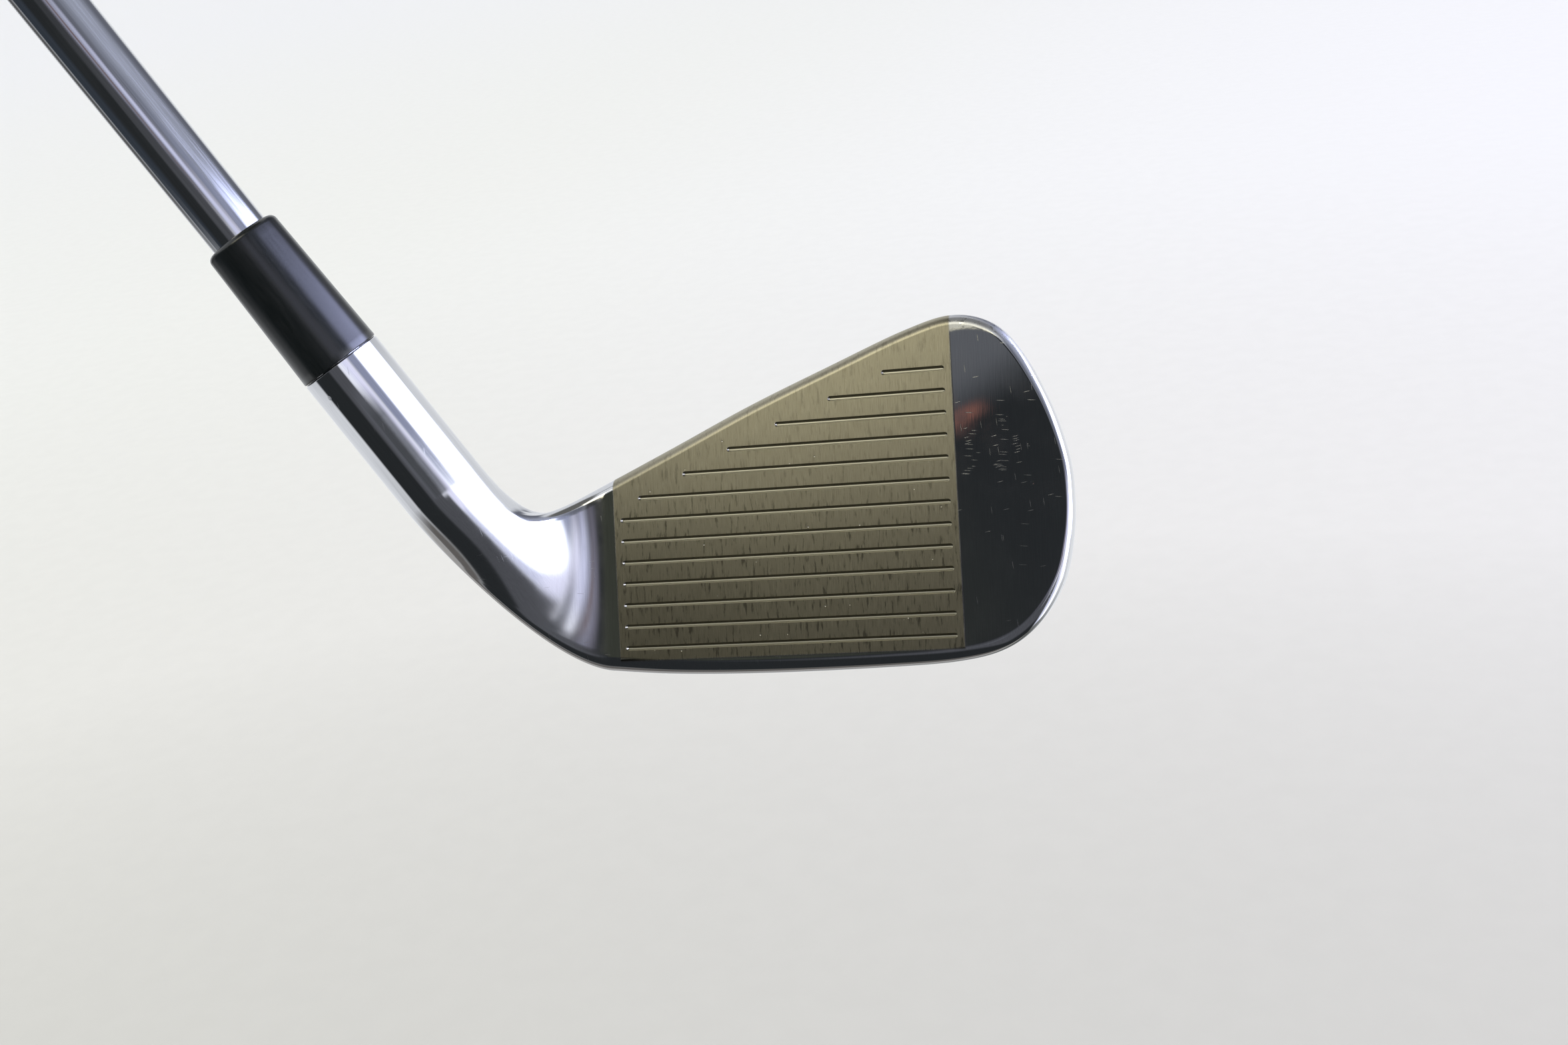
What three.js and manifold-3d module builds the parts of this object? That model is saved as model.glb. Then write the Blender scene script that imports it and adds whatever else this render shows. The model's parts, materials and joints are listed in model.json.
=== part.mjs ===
// An iron golf club for a left-handed player: a one-piece cavity-back head with its hosel, a ferrule,
// a stepped steel shaft glued into the hosel, and a slip-on rubber grip with its end cap.
// Millimetres. The club stands as at address: +Z up, +X along the score lines towards the toe, and
// the face looks towards -Y. The origin is the strike point, in the middle of the flat face.
import * as THREE from "three";
import { mergeVertices } from "three/addons/utils/BufferGeometryUtils.js";
import Module from "manifold-3d";

const wasm = await Module();
wasm.setup();

const degrees = THREE.MathUtils.degToRad;
const lerp = THREE.MathUtils.lerp;

// ---- Driving dimensions ----
const LOFT = degrees(25);
const LIE = degrees(61.7);
const CLUB_LENGTH = 965; // along the shaft, from the ground at the heel to the end of the grip
const AXIS_FOOT = new THREE.Vector3(-34, -5.5, -20.4); // where the shaft's axis meets the ground
const GLUE_GAP = 0.1; // between pieces that sit one inside the other
const FACE_GAP = 0.3; // between pieces that meet end to end

// Head, in its own frame: x towards the toe, y up the face, z out of the face.
const HEEL_X = -33; // where the face's outline ends at the heel
const BLADE_START = -30.5; // where the neck has run out into the flat blade
const FACE_OUTLINE = [
  [HEEL_X, 10.2], [-19, 16.4], [-5, 22.7], [9, 28.3], [21, 32.9], [28.8, 34.7], [35, 33],
  [39.2, 28.4], [43.3, 20], [45.7, 11.6], [46.2, 5], [45.7, -1.6], [44.1, -8.2], [40.3, -14.2],
  [35, -18.1], [27.5, -19.9], [15, -20.5], [-4, -20.7], [-20, -20.3], [HEEL_X, -19.2],
];
const TOE_TIP = 10; // its place in the outline
const TOE_BEND = 5; // how many outline points before and after the tip the rim changes its section
const HEEL_BEND = 3; // how many of its last points the sole's rim takes to become the heel's
const TOE_START = 24; // x from which the blade's sections crowd together towards the tip
// A rim's section: radius at the face, depth from the face to the back, draft angle, bulge, back radius.
const TOPLINE_RIM = { edge: 1.8, depth: 5.8, draft: degrees(3), bulge: 0.15, back: 1.2 };
const SOLE_RIM = { edge: 1.7, depth: 17.2, draft: degrees(23), bulge: 1.1, back: 2 };
const HEEL_SOLE_RIM = { edge: 2.2, depth: 14, draft: degrees(21), bulge: 1.2, back: 2.4 };
const TOE_RIM = { edge: 1.1, depth: 9, draft: degrees(2), bulge: 0.3, back: 1.6 };
const CAVITY_FLOOR = 3.3; // thickness of the face behind the cavity
const CAVITY = { heel: -27, toe: 35, wall: 3, top: 0.1, topFoot: 0.16, soleFoot: 0.62, sole: 0.69 };
const BACK_ROWS = [0.05, 0.1, 0.16, 0.27, 0.38, 0.5, 0.62, 0.69, 0.77, 0.85, 0.93]; // shares of its height
const MUSCLE_POWER = 1.9; // how fast the back thins above the sole
const HOSEL_TOP = 66.5; // along the shaft's axis from the ground
const HOSEL_RADIUS = 6.8;
const HOSEL_FOOT = 41; // where the straight hosel ends and the neck begins
const HOSEL_FOOT_RADIUS = 6.9;
const HOSEL_CHAMFER = 0.4;
const CROTCH_REACH = 0.56; // how far the neck keeps to its end directions, as a share of its length
const HEEL_REACH = 0.26;
const FRONT_TIGHTENING = 0.35; // how much sooner the front of the neck turns into the flat face
const BORE_RADIUS = 4.95;
const BORE_DEPTH = 31;
// How many facets each stretch of the head has.
const HEAD_STEPS = { arc: 3, side: 3, face: 12, neck: 10, blade: 28, toe: 12 };

// Score lines
const GROOVE_COUNT = 13;
const GROOVE_PITCH = 3.5;
const GROOVES_BELOW_STRIKE_POINT = 5; // the strike point lies midway between two score lines
const GROOVE_WIDTH = 0.85;
const GROOVE_FLOOR = 0.45;
const GROOVE_DEPTH = 0.45;
const GROOVE_HALF_LENGTH = 27.4;
const GROOVE_BELOW_TOPLINE = 5.3;
const GROOVE_END_STEP = 0.1; // how closely the ends below the topline are placed
const GROOVE_CUT_ABOVE = 0.5; // how far the cut reaches out in front of the face

// Shaft: diameters grow from the tip to the butt
const TIP_CLEARANCE = 1.5; // below the shaft's tip, to the bottom of the bore
const SHAFT_TIP = HOSEL_TOP - BORE_DEPTH + TIP_CLEARANCE;
const TIP_RADIUS = 4.53;
const TIP_TAPER = 0.0039; // growth of the radius per millimetre
const TIP_LENGTH = 180;
const STEP_COUNT = 12;
const STEP_PITCH = 36;
const STEP_RAMP = 1.2;
const BUTT_RADIUS = 7.62;
const TIP_WALL = 0.7;
const BUTT_WALL = 0.38;

const FERRULE = { bottom: HOSEL_TOP + FACE_GAP, length: 24.2, bottomRadius: 6.8, topRadius: 6.2, rim: 1 };

// Grip
const GRIP_LENGTH = 267;
const MOUTH_RADIUS = 9.2;
const MOUTH_CHAMFER = 0.8;
const GRIP_SWELL = 2.6; // how much the radius grows from the mouth to the butt, before the flare
const FLARE_LENGTH = 53;
const CAP_THICKNESS = 3.2;
const CAP_RADIUS = 14.4;
const CAP_ROUNDING = 1.2;
const BUTT_STEP = 0.1; // how much smaller the sleeve is than its cap
const VENT_RADIUS = 1.5;
const TAPE_THICKNESS = 0.25;
const TAPE_INSET = 2; // from the grip's mouth to where the tape starts
const BAND = { start: 652, length: 34, thickness: 0.15 };

const SHAFT_END = CLUB_LENGTH - CAP_THICKNESS - FACE_GAP;
const GRIP_MOUTH = CLUB_LENGTH - GRIP_LENGTH;

const ARC_STEPS = 4; // facets round a quarter circle of a turned piece
const GRIP_RINGS = 18;

// ---- Surfaces of revolution on the shaft's axis ----

function steel(color, roughness) {
  return new THREE.MeshStandardMaterial({ color, roughness, metalness: 1 });
}

function moulded(color, roughness) {
  return new THREE.MeshStandardMaterial({ color, roughness, metalness: 0 });
}

// [radius, distance along the axis] pairs round the outer edge of a piece's upper end.
function roundedEnd(radius, end, rounding) {
  const points = [];
  for (let step = 0; step <= ARC_STEPS; step += 1) {
    const angle = (step / ARC_STEPS) * (Math.PI / 2);
    points.push([radius + rounding * (Math.cos(angle) - 1), end + rounding * (Math.sin(angle) - 1)]);
  }
  return points;
}

// A ring-shaped solid from [radius, distance along the axis] pairs, which close on themselves.
function turned(name, profile, material, sides = 32) {
  const points = [...profile, profile[0]].map(([radius, along]) => new THREE.Vector2(radius, along));
  const mesh = new THREE.Mesh(new THREE.LatheGeometry(points, sides), material);
  mesh.name = name;
  return mesh;
}

// The radius of the tapered tip and, above it, of the steps.
function shaftRadius(along) {
  const fromTip = along - SHAFT_TIP;
  const steppedFrom = TIP_RADIUS + TIP_TAPER * TIP_LENGTH;
  if (fromTip < TIP_LENGTH) return TIP_RADIUS + TIP_TAPER * fromTip;
  const steps = Math.min(STEP_COUNT, 1 + Math.floor((fromTip - TIP_LENGTH) / STEP_PITCH));
  return lerp(steppedFrom, BUTT_RADIUS, steps / STEP_COUNT);
}

function makeShaft() {
  const outside = [[TIP_RADIUS, SHAFT_TIP]];
  for (let step = 0; step < STEP_COUNT; step += 1) {
    const along = SHAFT_TIP + TIP_LENGTH + step * STEP_PITCH;
    outside.push([shaftRadius(along - STEP_RAMP), along - STEP_RAMP]);
    outside.push([shaftRadius(along), along]);
  }
  outside.push([BUTT_RADIUS, SHAFT_END]);
  const inside = [
    [BUTT_RADIUS - BUTT_WALL, SHAFT_END],
    [BUTT_RADIUS - BUTT_WALL, SHAFT_TIP + TIP_LENGTH + STEP_COUNT * STEP_PITCH],
    [TIP_RADIUS - TIP_WALL, SHAFT_TIP],
  ];
  return turned("shaft", [...outside, ...inside], steel(0xc4c6ca, 0.12));
}

function makeHoselEpoxy() {
  const bottom = SHAFT_TIP;
  const top = HOSEL_TOP - HOSEL_CHAMFER;
  return turned("hosel_epoxy", [
    [BORE_RADIUS - GLUE_GAP, bottom],
    [BORE_RADIUS - GLUE_GAP, top],
    [shaftRadius(top) + GLUE_GAP, top],
    [shaftRadius(bottom) + GLUE_GAP, bottom],
  ], moulded(0xb9a878, 0.5));
}

function makeFerrule() {
  const { bottom, length, bottomRadius, topRadius, rim } = FERRULE;
  const top = bottom + length;
  return turned("ferrule", [
    [shaftRadius(bottom) + GLUE_GAP, bottom],
    [bottomRadius, bottom],
    ...roundedEnd(topRadius, top, rim),
    [shaftRadius(top) + GLUE_GAP, top],
  ], moulded(0x17161a, 0.35));
}

function makeShaftBand() {
  const inner = BUTT_RADIUS + GLUE_GAP / 2;
  const outer = inner + BAND.thickness;
  const end = BAND.start + BAND.length;
  return turned("shaft_band", [
    [inner, BAND.start], [outer, BAND.start], [outer, end], [inner, end],
  ], moulded(0x2b2d33, 0.3));
}

function makeGripTape() {
  const inner = BUTT_RADIUS + GLUE_GAP;
  const outer = inner + TAPE_THICKNESS;
  const start = GRIP_MOUTH + TAPE_INSET;
  return turned("grip_tape", [
    [inner, start], [outer, start], [outer, SHAFT_END], [inner, SHAFT_END],
  ], moulded(0xd8d2bf, 0.8));
}

// The grip swells from its mouth to a flared butt.
function gripRadius(along) {
  const swell = GRIP_SWELL * (along - GRIP_MOUTH) / GRIP_LENGTH;
  const flare = Math.max(0, 1 - (SHAFT_END - along) / FLARE_LENGTH);
  return MOUTH_RADIUS + swell + (CAP_RADIUS - BUTT_STEP - MOUTH_RADIUS - GRIP_SWELL) * flare ** 3;
}

function makeGripSleeve() {
  const inner = BUTT_RADIUS + 2 * GLUE_GAP + TAPE_THICKNESS;
  const profile = [[inner, GRIP_MOUTH], [MOUTH_RADIUS - MOUTH_CHAMFER, GRIP_MOUTH]];
  for (let ring = 0; ring <= GRIP_RINGS; ring += 1) {
    const share = Math.sin((ring / GRIP_RINGS) * (Math.PI / 2)); // rings crowd together in the flare
    const along = lerp(GRIP_MOUTH + MOUTH_CHAMFER, SHAFT_END, share);
    profile.push([gripRadius(along), along]);
  }
  profile.push([inner, SHAFT_END]);
  return turned("grip_sleeve", profile, moulded(0x1c1c1e, 0.8));
}

function makeGripCap() {
  const bottom = CLUB_LENGTH - CAP_THICKNESS;
  return turned("grip_cap", [
    [VENT_RADIUS, bottom],
    [CAP_RADIUS, bottom],
    ...roundedEnd(CAP_RADIUS, CLUB_LENGTH, CAP_ROUNDING),
    [VENT_RADIUS, CLUB_LENGTH],
  ], moulded(0x101012, 0.55));
}

// ---- Head ----

const outline = new THREE.SplineCurve(FACE_OUTLINE.map(([x, y]) => new THREE.Vector2(x, y)));
const OUTLINE_SPANS = FACE_OUTLINE.length - 1;
const SEARCH_PASSES = 40; // halvings of the interval, enough for a place to the last digit

function outlineAt(place) {
  return outline.getPoint(place / OUTLINE_SPANS);
}

// The place on the outline, between a heel end and the toe's tip, where it reaches x.
function placeAtX(x, start, end) {
  let near = start;
  let far = end;
  for (let pass = 0; pass < SEARCH_PASSES; pass += 1) {
    const middle = (near + far) / 2;
    if (outlineAt(middle).x < x) near = middle;
    else far = middle;
  }
  return (near + far) / 2;
}

function mixedRim(one, other, share) {
  return Object.fromEntries(Object.keys(one).map((key) => [key, lerp(one[key], other[key], share)]));
}

function rimAt(place) {
  const toeShare = THREE.MathUtils.smoothstep(TOE_BEND - Math.abs(place - TOE_TIP), 0, TOE_BEND);
  if (place <= TOE_TIP) return mixedRim(TOPLINE_RIM, TOE_RIM, toeShare);
  const heelShare = THREE.MathUtils.smoothstep(place, OUTLINE_SPANS - HEEL_BEND, OUTLINE_SPANS);
  return mixedRim(mixedRim(SOLE_RIM, HEEL_SOLE_RIM, heelShare), TOE_RIM, toeShare);
}

// The rim's section as [distance in from the outline, height above the face] pairs, from the edge
// of the flat face round to the back, which it meets at the angle backSlope.
function rimSection(rim, backSlope, arcSteps, sideSteps) {
  const points = [];
  for (let step = 0; step <= arcSteps; step += 1) {
    const angle = Math.PI / 2 + (step / arcSteps) * (Math.PI / 2 + rim.draft);
    points.push([rim.edge + rim.edge * Math.cos(angle), -rim.edge + rim.edge * Math.sin(angle)]);
  }
  const start = points[arcSteps];
  const length = (rim.depth + start[1]) / Math.cos(rim.draft);
  const turn = Math.PI / 2 - rim.draft + backSlope;
  const trim = rim.back * Math.tan(turn / 2);
  const side = [Math.sin(rim.draft), -Math.cos(rim.draft)];
  for (let step = 1; step <= sideSteps; step += 1) {
    const share = step / sideSteps;
    const bulge = 4 * rim.bulge * share * (1 - share);
    const along = (length - trim) * share;
    points.push([
      start[0] + along * side[0] + bulge * side[1],
      start[1] + along * side[1] - bulge * side[0],
    ]);
  }
  const arcStart = points[points.length - 1];
  const centre = [arcStart[0] - rim.back * side[1], arcStart[1] + rim.back * side[0]];
  for (let step = 1; step <= arcSteps; step += 1) {
    const angle = Math.PI + rim.draft + (step / arcSteps) * turn;
    points.push([centre[0] + rim.back * Math.cos(angle), centre[1] + rim.back * Math.sin(angle)]);
  }
  return points;
}

function rimPoints(place, backSlope, steps) {
  const edge = outlineAt(place);
  const tangent = outline.getTangent(place / OUTLINE_SPANS);
  const inward = new THREE.Vector2(tangent.y, -tangent.x);
  return rimSection(rimAt(place), backSlope, steps.arc, steps.side).map(([distance, z]) => {
    const point = edge.clone().addScaledVector(inward, distance);
    return new THREE.Vector3(point.x, point.y, z);
  });
}

// How far the back is hollowed at x, a share of the way down it: 1 on the cavity's floor, 0 outside it.
function cavityShare(x, share) {
  const { heel, toe, wall, top, topFoot, soleFoot, sole } = CAVITY;
  const ramp = THREE.MathUtils.smoothstep;
  return ramp(x, heel, heel + wall) * ramp(toe - x, 0, wall)
    * ramp(share, top, topFoot) * (1 - ramp(share, soleFoot, sole));
}

// One closed loop round the blade: topline rim, back, sole rim and face.
function bladeLoop(x, steps) {
  const topPlace = placeAtX(x, 0, TOE_TIP);
  const solePlace = placeAtX(x, OUTLINE_SPANS, TOE_TIP);
  const height = outlineAt(topPlace).y - outlineAt(solePlace).y;
  const rise = rimAt(solePlace).depth - rimAt(topPlace).depth;
  const backSlope = Math.atan2(MUSCLE_POWER * rise, height + 1);
  const top = rimPoints(topPlace, 0, steps);
  const sole = rimPoints(solePlace, backSlope, steps);
  const from = top[top.length - 1];
  const to = sole[sole.length - 1];
  const back = BACK_ROWS.map((share) => {
    const point = from.clone().lerp(to, share);
    const solid = lerp(from.z, to.z, share ** MUSCLE_POWER);
    point.z = lerp(solid, -CAVITY_FLOOR, cavityShare(x, share));
    return point;
  });
  const face = [];
  for (let step = 1; step < steps.face; step += 1) {
    face.push(sole[0].clone().lerp(top[0], step / steps.face));
  }
  return [...top, ...back, ...sole.reverse(), ...face];
}

// The shaft's axis and the two directions across it, in the head's frame.
const toHead = new THREE.Matrix4().makeRotationX(LOFT - Math.PI / 2);
const axisFoot = AXIS_FOOT.clone().applyMatrix4(toHead);
const axisUp = new THREE.Vector3(-Math.cos(LIE), 0, Math.sin(LIE)).applyMatrix4(toHead);
const toCrotch = new THREE.Vector3(Math.sin(LIE), 0, Math.cos(LIE)).applyMatrix4(toHead);
const toFront = new THREE.Vector3(0, -1, 0).applyMatrix4(toHead);
// Where the rims, the back and the face begin on a hosel ring, as angles from the crotch to the back.
const HOSEL_CORNERS = {
  topline: degrees(38), back: degrees(-38), sole: degrees(-140), face: degrees(-220),
};

// A ring round the shaft's axis whose points pair with those of a blade loop: the topline's rim
// answers to the crotch side of the ring, the back to its back, the sole to its heel side and the
// face to its front.
function hoselRing(along, radius, steps) {
  const rimSteps = 2 * steps.arc + steps.side;
  const { topline, back, sole, face } = HOSEL_CORNERS;
  const corners = [
    [topline, back, rimSteps],
    [back, sole, BACK_ROWS.length + 1],
    [sole, face, rimSteps],
    [face, topline - 2 * Math.PI, steps.face],
  ];
  const centre = axisFoot.clone().addScaledVector(axisUp, along);
  const ring = [];
  for (const [first, last, count] of corners) {
    for (let step = 0; step < count; step += 1) {
      const angle = lerp(first, last, step / count);
      ring.push(centre.clone()
        .addScaledVector(toCrotch, radius * Math.cos(angle))
        .addScaledVector(toFront, radius * Math.sin(angle)));
    }
  }
  return ring;
}

// Loops that carry the hosel's foot smoothly into the heel end of the blade.
function neckLoops(foot, heel, beyondHeel, steps) {
  const loops = [];
  const centre = axisFoot.clone().addScaledVector(axisUp, HOSEL_FOOT);
  for (let step = 1; step < steps.neck; step += 1) {
    const share = step / steps.neck;
    loops.push(foot.map((start, index) => {
      const end = heel[index];
      const side = start.clone().sub(centre).normalize();
      const reach = lerp(HEEL_REACH, CROTCH_REACH, (1 + side.dot(toCrotch)) / 2) * start.distanceTo(end);
      const heelReach = reach * (1 - FRONT_TIGHTENING * Math.max(0, side.dot(toFront)));
      const outwards = end.clone().sub(beyondHeel[index]).setLength(heelReach);
      const curve = new THREE.CubicBezierCurve3(
        start, start.clone().addScaledVector(axisUp, -reach), end.clone().add(outwards), end);
      return curve.getPoint(share);
    }));
  }
  return loops;
}

// Joins neighbouring loops of the same count into one skin. It is closed where a loop shrinks to a
// point or folds flat.
function skin(loops) {
  const positions = [];
  const indices = [];
  const count = loops[0].length;
  loops.flat().forEach((point) => positions.push(point.x, point.y, point.z));
  for (let row = 0; row + 1 < loops.length; row += 1) {
    for (let column = 0; column < count; column += 1) {
      const next = (column + 1) % count;
      const [a, b] = [row * count + column, row * count + next];
      const [c, d] = [a + count, b + count];
      indices.push(a, d, b, a, c, d);
    }
  }
  const geometry = new THREE.BufferGeometry();
  geometry.setAttribute("position", new THREE.Float32BufferAttribute(positions, 3));
  geometry.setIndex(indices);
  return geometry;
}

function headLoops(steps) {
  const chamferTop = HOSEL_TOP - HOSEL_CHAMFER;
  const boreEnd = HOSEL_TOP - BORE_DEPTH;
  const hosel = [
    hoselRing(boreEnd, 0, steps),
    hoselRing(boreEnd, BORE_RADIUS, steps),
    hoselRing(chamferTop, BORE_RADIUS, steps),
    hoselRing(HOSEL_TOP, BORE_RADIUS + HOSEL_CHAMFER, steps),
    hoselRing(HOSEL_TOP, HOSEL_RADIUS - HOSEL_CHAMFER, steps),
    hoselRing(chamferTop, HOSEL_RADIUS, steps),
    hoselRing(HOSEL_FOOT, HOSEL_FOOT_RADIUS, steps),
  ];
  const tip = FACE_OUTLINE[TOE_TIP][0];
  const blade = [];
  for (let step = 0; step < steps.blade; step += 1) {
    blade.push(bladeLoop(lerp(BLADE_START, TOE_START, step / steps.blade), steps));
  }
  for (let step = 0; step <= steps.toe; step += 1) {
    blade.push(bladeLoop(lerp(TOE_START, tip, Math.sin((step / steps.toe) * (Math.PI / 2))), steps));
  }
  const neck = neckLoops(hosel[hosel.length - 1], blade[0], blade[1], steps);
  return [...hosel, ...neck, ...blade];
}

// ---- Cutting the score lines ----

function solidOf(geometry) {
  geometry.deleteAttribute("normal");
  geometry.deleteAttribute("uv");
  const merged = mergeVertices(geometry, 1e-4);
  return new wasm.Manifold(new wasm.Mesh({
    numProp: 3,
    vertProperties: new Float32Array(merged.attributes.position.array),
    triVerts: new Uint32Array(merged.index.array),
  }));
}

function geometryOf(solid) {
  const { vertProperties, triVerts } = solid.getMesh();
  const geometry = new THREE.BufferGeometry();
  geometry.setAttribute("position", new THREE.BufferAttribute(vertProperties, 3));
  geometry.setIndex(new THREE.BufferAttribute(triVerts, 1));
  geometry.computeVertexNormals();
  return geometry;
}

// The lowest score line is number 0. The upper ones start where the topline leaves room for them.
function grooveSpan(number) {
  const y = (number - GROOVES_BELOW_STRIKE_POINT + 0.5) * GROOVE_PITCH;
  let start = -GROOVE_HALF_LENGTH;
  while (outlineAt(placeAtX(start, 0, TOE_TIP)).y < y + GROOVE_BELOW_TOPLINE) start += GROOVE_END_STEP;
  return { y, start, end: GROOVE_HALF_LENGTH };
}

function grooveSolid(number) {
  const { y, start, end } = grooveSpan(number);
  const flare = (GROOVE_CUT_ABOVE / GROOVE_DEPTH) * ((GROOVE_WIDTH - GROOVE_FLOOR) / 2);
  const section = new THREE.Shape([
    new THREE.Vector2(GROOVE_WIDTH / 2 + flare, GROOVE_CUT_ABOVE),
    new THREE.Vector2(-GROOVE_WIDTH / 2 - flare, GROOVE_CUT_ABOVE),
    new THREE.Vector2(-GROOVE_FLOOR / 2, -GROOVE_DEPTH),
    new THREE.Vector2(GROOVE_FLOOR / 2, -GROOVE_DEPTH),
  ]);
  const prism = new THREE.ExtrudeGeometry(section, { depth: end - start, bevelEnabled: false });
  const across = new THREE.Vector3(0, 1, 0);
  const outOfFace = new THREE.Vector3(0, 0, 1);
  const alongLine = new THREE.Vector3(1, 0, 0);
  prism.applyMatrix4(new THREE.Matrix4().makeBasis(across, outOfFace, alongLine).setPosition(start, y, 0));
  return solidOf(prism);
}

function makeClubHead() {
  let solid = solidOf(skin(headLoops(HEAD_STEPS)));
  for (let number = 0; number < GROOVE_COUNT; number += 1) solid = solid.subtract(grooveSolid(number));
  const mesh = new THREE.Mesh(geometryOf(solid), steel(0xb9bbbf, 0.15));
  mesh.name = "club_head";
  return mesh;
}

// ---- Assembly ----

const headFrame = new THREE.Group();
headFrame.rotation.x = Math.PI / 2 - LOFT;
headFrame.add(makeClubHead());

const shaftLine = new THREE.Group();
shaftLine.position.copy(AXIS_FOOT);
shaftLine.quaternion.setFromUnitVectors(
  new THREE.Vector3(0, 1, 0), new THREE.Vector3(-Math.cos(LIE), 0, Math.sin(LIE)));
shaftLine.add(
  makeShaft(), makeHoselEpoxy(), makeFerrule(), makeShaftBand(),
  makeGripTape(), makeGripSleeve(), makeGripCap());

const club = new THREE.Group();
club.add(headFrame, shaftLine);

export default club;
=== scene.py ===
"""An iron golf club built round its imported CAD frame, with a studio and a camera.

Lengths of the club are in millimetres here, as in the CAD, and turned into metres as each mesh is made.
The head is built in its own frame, x towards the toe, y up the face and z out of the face, with the
strike point at its origin. Everything on the shaft is built along the shaft's axis.
"""
import json
import math

import bmesh
import bpy
import numpy as np
from mathutils import Matrix, Vector


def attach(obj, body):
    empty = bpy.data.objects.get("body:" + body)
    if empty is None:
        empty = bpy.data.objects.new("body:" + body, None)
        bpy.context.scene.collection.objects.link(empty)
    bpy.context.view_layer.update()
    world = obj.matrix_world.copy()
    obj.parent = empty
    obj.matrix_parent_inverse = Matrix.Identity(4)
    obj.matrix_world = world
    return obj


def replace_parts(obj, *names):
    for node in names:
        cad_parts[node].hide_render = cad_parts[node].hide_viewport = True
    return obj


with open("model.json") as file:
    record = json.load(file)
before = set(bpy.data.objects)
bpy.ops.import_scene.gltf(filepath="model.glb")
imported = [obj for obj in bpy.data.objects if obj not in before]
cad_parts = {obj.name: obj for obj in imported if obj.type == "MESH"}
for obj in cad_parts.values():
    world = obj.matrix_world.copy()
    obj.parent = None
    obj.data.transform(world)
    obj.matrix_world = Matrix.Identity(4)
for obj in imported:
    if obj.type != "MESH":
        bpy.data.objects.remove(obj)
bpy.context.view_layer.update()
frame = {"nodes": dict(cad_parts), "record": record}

MM = 0.001
MOUNTS = {mount["name"]: mount for mount in frame["record"]["mounts"]}

# ---- Driving dimensions, in millimetres ----
LOFT = math.asin(MOUNTS["strike_face"]["axis"][2])
STRIKE_POINT = Vector(MOUNTS["strike_face"]["pos_m"])
SHAFT_DIRECTION = Vector(MOUNTS["hand_hold"]["axis"])
HOLD_POINT = Vector(MOUNTS["hand_hold"]["pos_m"])
CLUB_LENGTH = 965
HOLD_ALONG = 835  # where the hands hold the club, along the shaft from the ground

HEEL_X = -33
FACE_OUTLINE = np.array([
    (HEEL_X, 10.2), (-19, 16.4), (-5, 22.7), (9, 28.3), (21, 32.9), (28.8, 34.7), (35, 33),
    (39.2, 28.4), (43.3, 20), (45.7, 11.6), (46.2, 5), (45.7, -1.6), (44.1, -8.2), (40.3, -14.2),
    (35, -18.1), (27.5, -19.9), (15, -20.5), (-4, -20.7), (-20, -20.3), (HEEL_X, -19.2),
])
OUTLINE_SPANS = len(FACE_OUTLINE) - 1
TOE_TIP = 10  # its place in the outline
TOE_BEND = 5  # how many outline points before and after the tip the rim changes its section
BLADE_START = -30.5  # x at which the neck has run out into the flat blade
TOE_START = 24  # x at which the stations start to crowd towards the tip
# A rim's section: radius at the face, depth to the back, draft angle, bulge, back radius.
TOPLINE_RIM = np.array([1.8, 5.8, math.radians(3), 0.15, 1.2])
SOLE_RIM = np.array([2.4, 17.2, math.radians(23), 1.1, 2])
HEEL_SOLE_RIM = np.array([2.6, 14, math.radians(21), 1.2, 2.4])
TOE_RIM = np.array([0.95, 9, math.radians(2), 0.3, 1.6])
MUSCLE_POWER = 1.9  # how late the back thickens on its way to the sole
SLOPE_SOFTENING = 1  # added to the blade's height, so that its back isn't steep where the blade runs out
CAVITY_FLOOR = 3.3
CAVITY_HEEL = -27
CAVITY_TOE = 35
CAVITY_WALL = 3
# The cavity's top and bottom edges, as shares of the way down the back.
CAVITY_TOP = (0.1, 0.16)
CAVITY_BOTTOM = (0.62, 0.69)

HOSEL_TOP = 66.5
HOSEL_RADIUS = 6.8
HOSEL_FOOT = 41
HOSEL_FOOT_RADIUS = 6.9
HOSEL_CHAMFER = 0.25
BORE_RADIUS = 4.95
BORE_DEPTH = 31
# How far the neck's curves hold on to the directions at their ends, as a share of their length.
CROTCH_REACH = 0.56
HEEL_REACH = 0.26
FRONT_TIGHTENING = 0.35  # how much sooner the front of the neck turns into the flat face
# The angles round the hosel, in degrees from the crotch side towards the front, between which lie the
# points that become the blade's topline rim, its back, its sole rim and its face.
HOSEL_CORNERS = (38, -38, -140, -220, -322)

GROOVE_COUNT = 13
GROOVE_PITCH = 3.5
GROOVES_BELOW_STRIKE_POINT = 5
GROOVE_WIDTH = 0.85
GROOVE_FLOOR = 0.4
GROOVE_DEPTH = 0.45
GROOVE_HALF_LENGTH = 27.4
GROOVE_BELOW_TOPLINE = 5.3
GROOVE_END_STEP = 0.1  # how closely the ends below the topline are placed
GROOVE_END_SIDES = 9
# A score line's section as half widths and heights: its lip above the face, its walls and its floor.
GROOVE_SECTION = [
    (GROOVE_WIDTH / 2 + 0.13, 0.2),
    (GROOVE_WIDTH / 2 - 0.05, -0.08),
    (GROOVE_FLOOR / 2 + 0.04, -GROOVE_DEPTH + 0.06),
    (GROOVE_FLOOR / 2 - 0.04, -GROOVE_DEPTH),
]

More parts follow.
